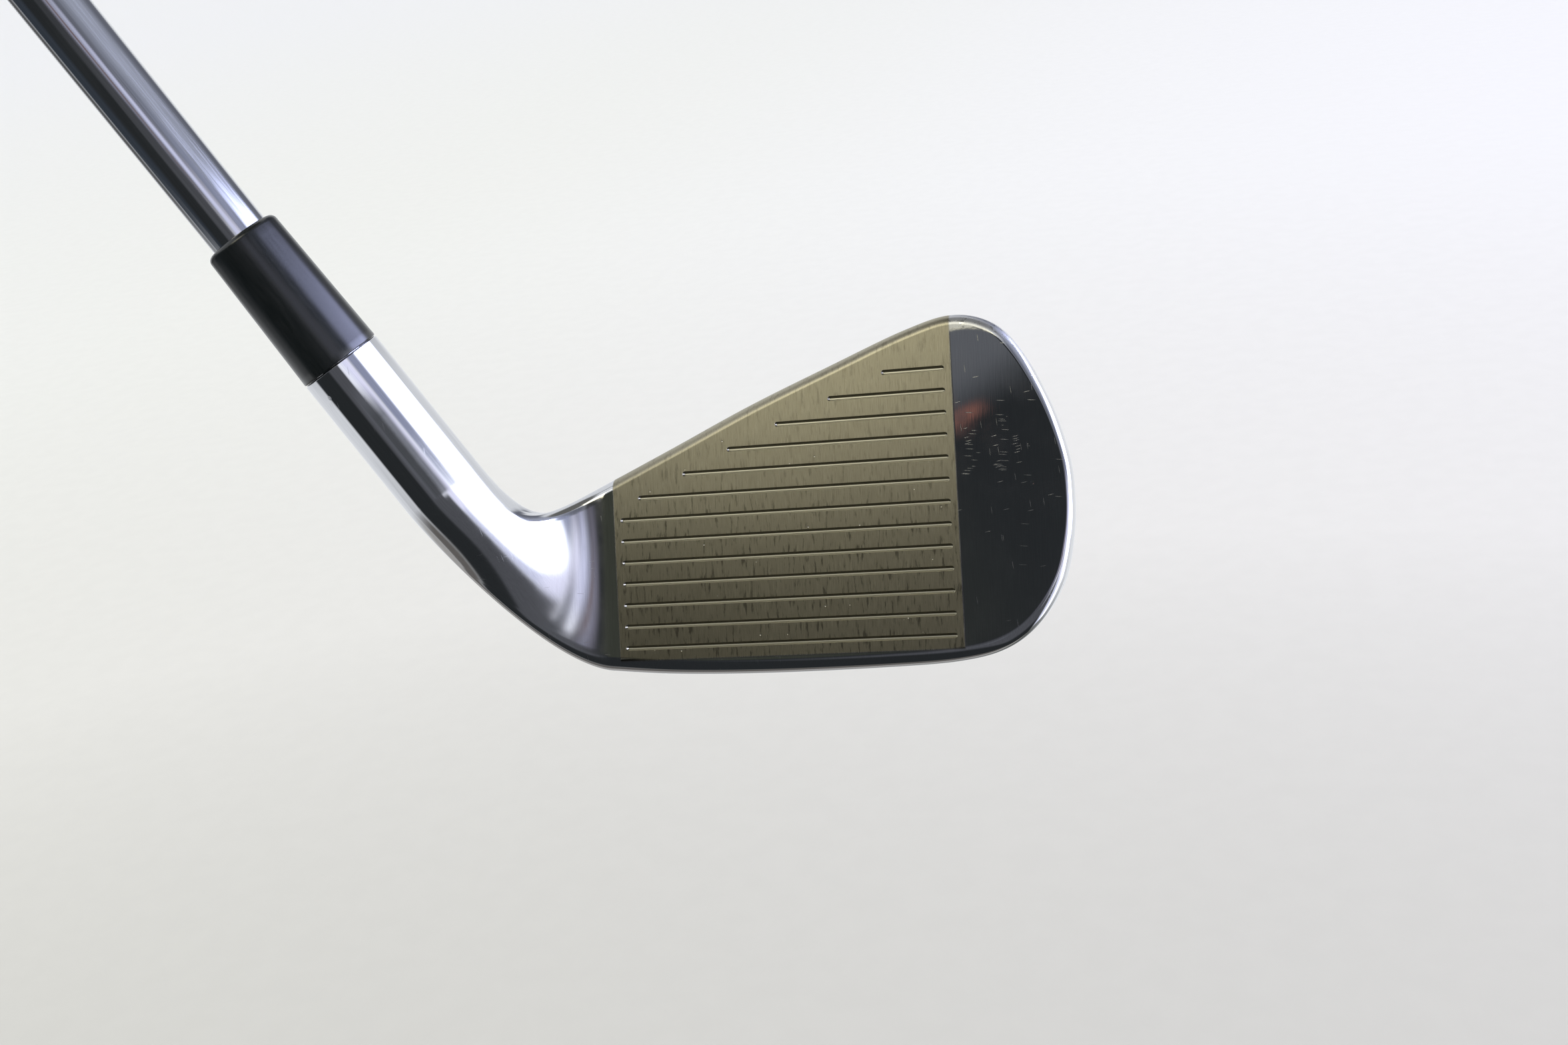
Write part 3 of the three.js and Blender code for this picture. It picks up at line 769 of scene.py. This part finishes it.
def dings(graph, place, spacing, size):
    """1 inside small round marks, spread at random with this spacing."""
    cells = graph.node("TexVoronoi", {"Vector": place, "Scale": 1 / spacing, "Randomness": 1.0})
    mark = graph.step(cells.outputs["Distance"], size / spacing, size * 0.3 / spacing)
    chosen = graph.step(graph.node("SeparateColor", {0: cells.outputs["Color"]}).outputs[0], 0.60, 0.62)
    return graph.times(mark, chosen)


def satin_mask(graph, place):
    """1 on the milled part of the face and of the rims next to it."""
    x, y, z = graph.axes(place)
    heel_end = graph.step(x, SATIN_HEEL - 0.15, SATIN_HEEL + 0.15)
    toe_end = graph.step(x, SATIN_TOE + 0.2, SATIN_TOE - 0.2)
    bottom = graph.step(y, SATIN_BOTTOM - 0.2, SATIN_BOTTOM + 0.2)
    return graph.times(heel_end, toe_end, bottom, graph.step(z, *SATIN_BACK))


def groove_mask(graph, place):
    """1 inside the score lines: behind the face, and below the topline's rim."""
    x, y, z = graph.axes(place)
    height = graph.add(y, graph.times(x, -TOPLINE_SLOPE))
    below_topline = graph.step(height, TOPLINE_AT + 0.1, TOPLINE_AT - 0.1)
    return graph.times(graph.step(z, -0.02, -0.06), below_topline)


def satin_finish(graph, place, groove):
    """Colour, roughness and height of the milled face: brushed, streaked and nicked, with painted shade low
    down and painted light and shade in the score lines.
    """
    x, y, _ = graph.axes(place)
    brushed = graph.noise(graph.stretch(place, 9, 0.35, 9), 1, 6, 0.65)
    wear = graph.noise(graph.stretch(place, 1.7, 0.28, 1.7), 1, 4, 0.6)
    nicks = graph.times(dings(graph, place, 2.2, 0.16), 0.9)
    # Painted shade: more of it towards the bottom of the face and towards the heel.
    painted_shade = graph.times(graph.step(y, 26, -12, 0.02, 0.44), graph.step(x, -26, 6, 1.3, 1.0))
    # Dark worn patches at random, deeper where the painted shade is.
    rubbed = graph.times(graph.step(wear, 0.53, 0.68), graph.step(painted_shade, 0.1, 0.4, 0.25, 0.75))
    # Painted light in each score line: a highlight on its lower half and shade on its upper half.
    up_groove = graph.math("FRACT", graph.times(y, 1 / GROOVE_PITCH))
    groove_painted_light = graph.mix(graph.step(up_groove, 0.49, 0.52), GROOVE_PAINTED_HIGHLIGHT, GROOVE_PAINTED_SHADE)
    colour = graph.ramp(brushed, [(0.3, SATIN_DARK), (0.7, SATIN_LIGHT)])
    colour = graph.mix(painted_shade, colour, SATIN_PAINTED_SHADE)
    colour = graph.mix(rubbed, colour, SATIN_WEAR_AND_SHADE)
    colour = graph.mix(nicks, colour, NICK_COLOUR)
    colour = graph.mix(groove, colour, groove_painted_light)
    roughness = graph.blend(groove, graph.step(brushed, 0.2, 0.8, 0.27, 0.38), 0.33)
    height = graph.times(graph.add(brushed, graph.times(nicks, -1.5)), graph.step(groove, 0, 1, 1, 0))
    return colour, roughness, height


def all_scratches(graph, place):
    """1 on the scratches, which are few over the whole head and crowd together on one spot of the toe."""
    cluster = graph.step(graph.distance(place, SCRATCHED_SPOT), *SCRATCHED_REACH)
    scratches = 0.0
    for angle, length, width, most in SCRATCHES:
        share = graph.step(cluster, 0, 1, SCRATCHES_ELSEWHERE, most)
        more = scratches_on(graph, place, angle, length, width, share)
        scratches = graph.math("MAXIMUM", scratches, more)
    return scratches


def toe_corner_scuffs(graph, place):
    """1 on the scuffed edge of the toe's top corner."""
    x, y, _ = graph.axes(place)
    edge = graph.step(graph.distance(place, TOE_CORNER), *TOE_CORNER_EDGE)
    corner = graph.times(graph.step(y, 21, 27), graph.step(x, 20, 26))
    scuffs = graph.noise(graph.stretch(place, 0.8, 1.6, 0.8), 1, 4, 0.7)
    return graph.times(edge, corner, graph.step(scuffs, 0.3, 0.5))


def chrome_finish(graph, place):
    """Colour, roughness and height of the polished head: fine polishing lines, haze and wear."""
    x = graph.axes(place)[0]
    along_face = graph.noise(graph.stretch(place, 5, 0.2, 5), 1, 3)
    along_hosel = graph.noise(graph.stretch(graph.local(LINE_MATRIX), 5, 5, 0.12), 1, 3)
    polish = graph.blend(graph.step(x, -42, -34), along_hosel, along_face)
    haze = graph.step(graph.noise(place, 0.12, 4, 0.6), 0.35, 0.7)
    neck_haze = graph.times(graph.step(x, *NECK_X), graph.step(x, *FACE_START_X))
    scratches = all_scratches(graph, place)
    dents = dings(graph, place, 7, 0.45)
    colour = graph.ramp(polish, [(0.3, (0.63, 0.635, 0.66)), (0.7, (0.69, 0.70, 0.72))])
    roughness = graph.add(graph.step(haze, 0, 1, 0.02, 0.06), graph.times(neck_haze, 0.10))
    worn = graph.add(graph.times(scratches, 0.16), graph.times(toe_corner_scuffs(graph, place), 0.32))
    roughness = graph.add(roughness, worn)
    marks = graph.add(graph.times(scratches, -0.06), graph.times(dents, -0.4))
    height = graph.add(graph.times(polish, 0.035), marks)
    return colour, roughness, height


def head_chrome():
    """Polished chrome, and the milled satin band of the face between the heel and the toe."""
    material, graph, shader = new_material("head_chrome", Metallic=1.0)
    place = graph.local(HEAD_MATRIX)
    satin = satin_mask(graph, place)
    groove = graph.times(satin, groove_mask(graph, place))
    satin_colour, satin_roughness, milled = satin_finish(graph, place, groove)
    chrome_colour, chrome_roughness, polished = chrome_finish(graph, place)
    graph.put(shader.inputs["Base Color"], graph.mix(satin, chrome_colour, satin_colour))
    graph.put(shader.inputs["Roughness"], graph.blend(satin, chrome_roughness, satin_roughness))
    graph.put(shader.inputs["Normal"], graph.bump(graph.blend(satin, polished, milled), 0.02))
    return material


def shaft_chrome():
    """Chrome with fine lines along the tube."""
    material, graph, shader = new_material("shaft_chrome", Metallic=1.0)
    place = graph.local(LINE_MATRIX)
    drawn = graph.noise(graph.stretch(place, 3, 3, 0.08), 1, 4)
    colours = [(0.3, (0.6, 0.61, 0.63)), (0.7, (0.68, 0.69, 0.71))]
    graph.put(shader.inputs["Base Color"], graph.ramp(drawn, colours))
    graph.put(shader.inputs["Roughness"], graph.step(drawn, 0.3, 0.7, 0.07, 0.13))
    graph.put(shader.inputs["Normal"], graph.bump(drawn, 0.0006))
    return material


def ferrule_plastic():
    """Black plastic, buffed round and a little rubbed."""
    material, graph, shader = new_material("ferrule_plastic", IOR=1.56)
    place = graph.local(LINE_MATRIX)
    rubbed = graph.noise(graph.stretch(place, 2.5, 2.5, 0.25), 1, 4, 0.6)
    colours = [(0.3, (0.004, 0.006, 0.0065)), (0.7, (0.008, 0.010, 0.011))]
    graph.put(shader.inputs["Base Color"], graph.ramp(rubbed, colours))
    graph.put(shader.inputs["Roughness"], graph.step(rubbed, 0.3, 0.75, 0.20, 0.27))
    graph.put(shader.inputs["Normal"], graph.bump(graph.noise(place, 5, 3), 0.004))
    return material


def band_film():
    """Dark glossy film."""
    material, graph, shader = new_material("band_film", Coat_Weight=0.5)
    place = graph.local(LINE_MATRIX)
    grain = graph.noise(graph.stretch(place, 2, 2, 12), 1, 3)
    colours = [(0.3, (0.018, 0.020, 0.026)), (0.7, (0.03, 0.033, 0.04))]
    graph.put(shader.inputs["Base Color"], graph.ramp(grain, colours))
    graph.put(shader.inputs["Roughness"], graph.step(grain, 0.3, 0.7, 0.25, 0.4))
    return material


def rubber(name, shade, roughness):
    """Dull black rubber with a fine grain and a little dust."""
    material, graph, shader = new_material(name)
    place = graph.local(LINE_MATRIX)
    grain = graph.noise(place, 3.5, 6, 0.7)
    dust = graph.noise(place, 0.15, 4, 0.6)
    colours = [(0.35, (shade,) * 3), (0.7, (shade * 1.7,) * 3)]
    graph.put(shader.inputs["Base Color"], graph.ramp(dust, colours))
    graph.put(shader.inputs["Roughness"], graph.step(grain, 0.3, 0.7, roughness - 0.08, roughness + 0.08))
    graph.put(shader.inputs["Normal"], graph.bump(grain, 0.08))
    return material


def tape():
    """Pale paper tape."""
    material, graph, shader = new_material("tape", Roughness=0.85)
    place = graph.local(LINE_MATRIX)
    weave = graph.noise(graph.stretch(place, 4, 4, 1.5), 1, 4)
    colours = [(0.3, (0.62, 0.58, 0.47)), (0.7, (0.74, 0.70, 0.60))]
    graph.put(shader.inputs["Base Color"], graph.ramp(weave, colours))
    graph.put(shader.inputs["Normal"], graph.bump(weave, 0.03))
    return material


def epoxy():
    """Cured amber adhesive."""
    material, graph, shader = new_material("epoxy", Subsurface_Weight=0.1)
    place = graph.local(LINE_MATRIX)
    cloud = graph.noise(place, 0.8, 4)
    colours = [(0.3, (0.42, 0.34, 0.18)), (0.7, (0.55, 0.47, 0.28))]
    graph.put(shader.inputs["Base Color"], graph.ramp(cloud, colours))
    graph.put(shader.inputs["Roughness"], graph.step(cloud, 0.3, 0.7, 0.3, 0.5))
    return material


# ---- Studio ----

# The studio's own sizes are in metres.
FLOOR_DROP = 0.35
FLOOR_RADIUS = 60
FLOOR_SIDES = 96
# Painted shade on the floor: darkest near its centre, lighter further out.
FLOOR_SHADED_NEAR = (0.60, 0.60, 0.575)
FLOOR_SHADED_MIDDLE = (0.80, 0.80, 0.79)
FLOOR_FAR = (0.89, 0.90, 0.91)
FLOOR_SHADE_CENTRE = (0, -0.6, -FLOOR_DROP)
FLOOR_SHADE_EDGE = (0.7, 2.6)  # distances from there over which the painted shade fades out
# Painted light on the floor: a warm tint to the left and a brighter, cooler one to the right.
FLOOR_WARM_LIGHT = (1.0, 1.0, 0.95, 1)
FLOOR_COOL_LIGHT = (1.08, 1.07, 1.13, 1)
FLOOR_TINT_X = (-1.2, 0.8)  # over which the painted warm light turns into the painted cool light
NO_TINT = (1, 1, 1, 1)
FLOOR_TINT_EDGE = (2, 8)  # distances over which both painted lights fade out
SOFTBOX_AROUND = 75  # degrees round the shaft's axis, and up along it
SOFTBOX_ALONG = 48
SOFTBOX_DISTANCE = 0.9
SOFTBOX_WIDTH = 0.5
SOFTBOX_HEIGHT = 0.35
SOFTBOX_RADIANCE = 1.9
SOFTBOX_COLOUR = (1.0, 0.94, 0.66)


def floor_sheet():
    """Pale paper with painted shade, darkest under and in front of the club, painted warm light to the left
    and painted cool light to the right.
    """
    material, graph, shader = new_material("studio_floor", Roughness=0.8)
    place = graph.node("TexCoord").outputs["Object"]
    distance = graph.distance(place, FLOOR_SHADE_CENTRE)
    stops = [(0, FLOOR_SHADED_NEAR), (0.3, FLOOR_SHADED_MIDDLE), (1, FLOOR_FAR)]
    shade = graph.ramp(graph.step(distance, *FLOOR_SHADE_EDGE), stops)
    # Painted light: warm to the left, cool and brighter to the right, fading further out.
    light_tint = graph.mix(graph.step(graph.axes(place)[0], *FLOOR_TINT_X), FLOOR_WARM_LIGHT, FLOOR_COOL_LIGHT)
    light_tint = graph.mix(graph.step(distance, *FLOOR_TINT_EDGE), light_tint, NO_TINT)
    colour = graph.node("VectorMath", {0: shade, 1: light_tint}, operation="MULTIPLY").outputs[0]
    grain = graph.step(graph.noise(place, 60, 3), 0.3, 0.7, 0.985, 1.0)
    colour = graph.node("VectorMath", {0: colour, "Scale": grain}, operation="SCALE").outputs[0]
    graph.put(shader.inputs["Base Color"], colour)
    return material


def make_floor(material):
    """A wide level disc below the club, which mirrors don't see."""
    mesh = bpy.data.meshes.new("floor")
    angles = np.linspace(0, 2 * math.pi, FLOOR_SIDES, endpoint=False)
    rim = [(FLOOR_RADIUS * math.cos(a), FLOOR_RADIUS * math.sin(a), -FLOOR_DROP) for a in angles]
    mesh.from_pydata(rim, [], [tuple(range(FLOOR_SIDES))])
    mesh.materials.append(material)
    floor = bpy.data.objects.new("floor", mesh)
    bpy.context.scene.collection.objects.link(floor)
    floor.visible_glossy = False


def direction_of(around, along):
    """The direction this far round the shaft's axis from the toe side, and this far up along it."""
    flat = Vector((math.cos(math.radians(around)), -math.sin(math.radians(around)), 0))
    lifted = flat * math.cos(math.radians(along)) + Vector((0, 0, math.sin(math.radians(along))))
    return LINE_MATRIX.to_3x3() @ lifted


def make_softbox():
    """A rectangular light above the camera that faces the head."""
    data = bpy.data.lights.new("overhead_softbox", "AREA")
    data.shape = "RECTANGLE"
    data.size = SOFTBOX_WIDTH
    data.size_y = SOFTBOX_HEIGHT
    data.color = SOFTBOX_COLOUR
    data.energy = SOFTBOX_RADIANCE * math.pi * SOFTBOX_WIDTH * SOFTBOX_HEIGHT
    light = bpy.data.objects.new("overhead_softbox", data)
    bpy.context.scene.collection.objects.link(light)
    towards = direction_of(SOFTBOX_AROUND, SOFTBOX_ALONG)
    across = SHAFT_DIRECTION.cross(towards).normalized()
    turn = Matrix((across, towards.cross(across), towards)).transposed().to_4x4()
    light.matrix_world = Matrix.Translation(towards * SOFTBOX_DISTANCE) @ turn
    light.visible_camera = False


# What the polished metal mirrors, as patches painted one over another. Each has the angles round the
# shaft's axis between which it lies (0 is the toe side, 58 the camera), the angles up along the axis, the
# softness of its edges round and along, and its colour. One that crosses 180 degrees round is in two parts.
SURROUNDINGS = [
    ((-85, 62), (2, 34), (10, 4), (0.17, 0.18, 0.22)),  # dim wall above the window
    ((-40, 24), (2, 34), (24, 5), (0.46, 0.49, 0.60)),  # the lighter part of it
    ((-44, 15), (-42, 4), (8, 3), (6.5, 7.0, 10.5)),  # window
    ((6, 30), (-54, -8), (8, 4), (4.0, 4.2, 5.5)),  # its dimmer edge
    ((15, 47), (-75, -4), (5, 3), (2.4, 2.5, 2.9)),  # the wall beside it
    ((44, 57), (-75, -4), (4, 3), (0.85, 0.88, 1.12)),  # the end of that wall
    ((20, 40), (-5, 8), (5, 3), (0.36, 0.39, 0.54)),  # grey corner above that wall
    ((59, 152), (-90, 40), (4, 8), (0.026, 0.029, 0.031)),  # dark room behind the camera
    ((140, 181), (3, 40), (8, 4), (0.045, 0.055, 0.07)),  # its far wall
    ((-181, -150), (4, 40), (12, 4), (0.12, 0.12, 0.12)),  # which goes on past 180
    ((155, 181), (-90, -8), (6, 8), (0.16, 0.15, 0.14)),  # paler things below it
    ((-181, -140), (-90, -8), (8, 4), (0.45, 0.44, 0.42)),  # which go on past 180
    ((59, 101), (-50, 12), (4, 10), (0.10, 0.103, 0.115)),  # dimly lit part of the room
    ((88, 112), (22, 40), (6, 5), (0.052, 0.056, 0.044)),  # the dark above it
    ((52, 71), (-8, 5), (3, 2), (1.2, 1.22, 1.35)),  # bright gap between the wall and the room
    ((42, 56), (-22, 6), (5, 4), (1.1, 1.1, 1.35)),  # the gap's near side
    ((51, 63), (1, 13), (5, 4), (0.86, 0.88, 1.15)),  # its top
    ((66, 79), (12, 22.5), (5, 4), (0.22, 0.21, 0.27)),  # where it fades out above
    ((60, 74), (9, 15.5), (5, 4), (0.52, 0.54, 0.70)),  # and more softly to the side
    ((49, 90), (-6.2, -0.6), (8, 0.8), (0.24, 0.25, 0.29)),  # dim shelf across the gap
    ((66, 90), (-6.2, -0.6), (6, 0.8), (0.09, 0.095, 0.105)),  # its darker end
    ((66, 71), (8, 16), (3, 4), (0.17, 0.10, 0.08)),  # brown post
    ((76, 86), (30.9, 40), (3, 1), (0.14, 0.147, 0.16)),  # pale patch above the red one
    ((81.7, 83.6), (30.2, 30.6), (0.5, 0.2), (0.28, 0.125, 0.098)),  # something red
]
BACKDROP = (0.88, 0.90, 0.93, 1)
BELOW = (0.12, 0.125, 0.11, 1)  # what is mirrored steeply from below
CEILING = (0.16, 0.16, 0.15, 1)
# The rises of a mirrored ray, from -1 straight down to 1 straight up, over which these meet.
BELOW_TO_BACKDROP = (-0.95, -0.48)
BACKDROP_TO_CEILING = (0.80, 0.90)
PLAIN_LIGHT = (1.0, 1.0, 1.0, 1)  # what lights everything that is not a mirror
SEEN_BEYOND_FLOOR = (0.90, 0.91, 0.92, 1)


def between(graph, value, limits, softness):
    """1 between the two limits and 0 outside them, with edges this soft to either side."""
    low, high = limits
    rise = graph.step(value, low - softness, low + softness)
    fall = graph.step(value, high - softness, high + softness, 1, 0)
    return graph.times(rise, fall)


def make_world():
    """Mirrors see the painted surroundings, and everything else gets plain even light."""
    world = bpy.data.worlds.new("studio")
    bpy.context.scene.world = world
    world.use_nodes = True
    graph = Graph(world.node_tree)
    direction = graph.node("TexCoord").outputs["Generated"]
    inputs = {"Vector": direction, "Rotation": LINE_MATRIX.to_euler()}
    x, y, rise = graph.axes(graph.node("Mapping", inputs, vector_type="TEXTURE").outputs[0])
    around = graph.times(graph.math("ARCTAN2", graph.times(y, -1.0), x), 180 / math.pi)
    along = graph.times(graph.math("ARCSINE", rise), 180 / math.pi)
    height = graph.axes(direction)[2]
    room = graph.mix(graph.step(height, *BELOW_TO_BACKDROP), BELOW, BACKDROP)
    room = graph.mix(graph.step(height, *BACKDROP_TO_CEILING), room, CEILING)
    for arounds, alongs, (soft_around, soft_along), colour in SURROUNDINGS:
        patch = between(graph, around, arounds, soft_around)
        patch = graph.times(patch, between(graph, along, alongs, soft_along))
        room = graph.mix(patch, room, (*colour, 1))
    rays = graph.node("LightPath").outputs
    light = graph.mix(rays["Is Glossy Ray"], PLAIN_LIGHT, room)
    background = world.node_tree.nodes["Background"]
    graph.put(background.inputs["Color"], graph.mix(rays["Is Camera Ray"], light, SEEN_BEYOND_FLOOR))


bpy.context.scene.view_settings.view_transform = "Standard"
make_camera()
make_world()
make_floor(floor_sheet())
make_softbox()

make_head(head_chrome())
make_shaft(shaft_chrome())
make_ferrule(ferrule_plastic())
make_band(band_film())
make_grip_sleeve(rubber("grip_rubber", 0.012, 0.62))
make_grip_cap(rubber("cap_rubber", 0.009, 0.45))
for node, material in (("hosel_epoxy", epoxy()), ("grip_tape", tape())):
    frame["nodes"][node].data.materials.clear()
    frame["nodes"][node].data.materials.append(material)
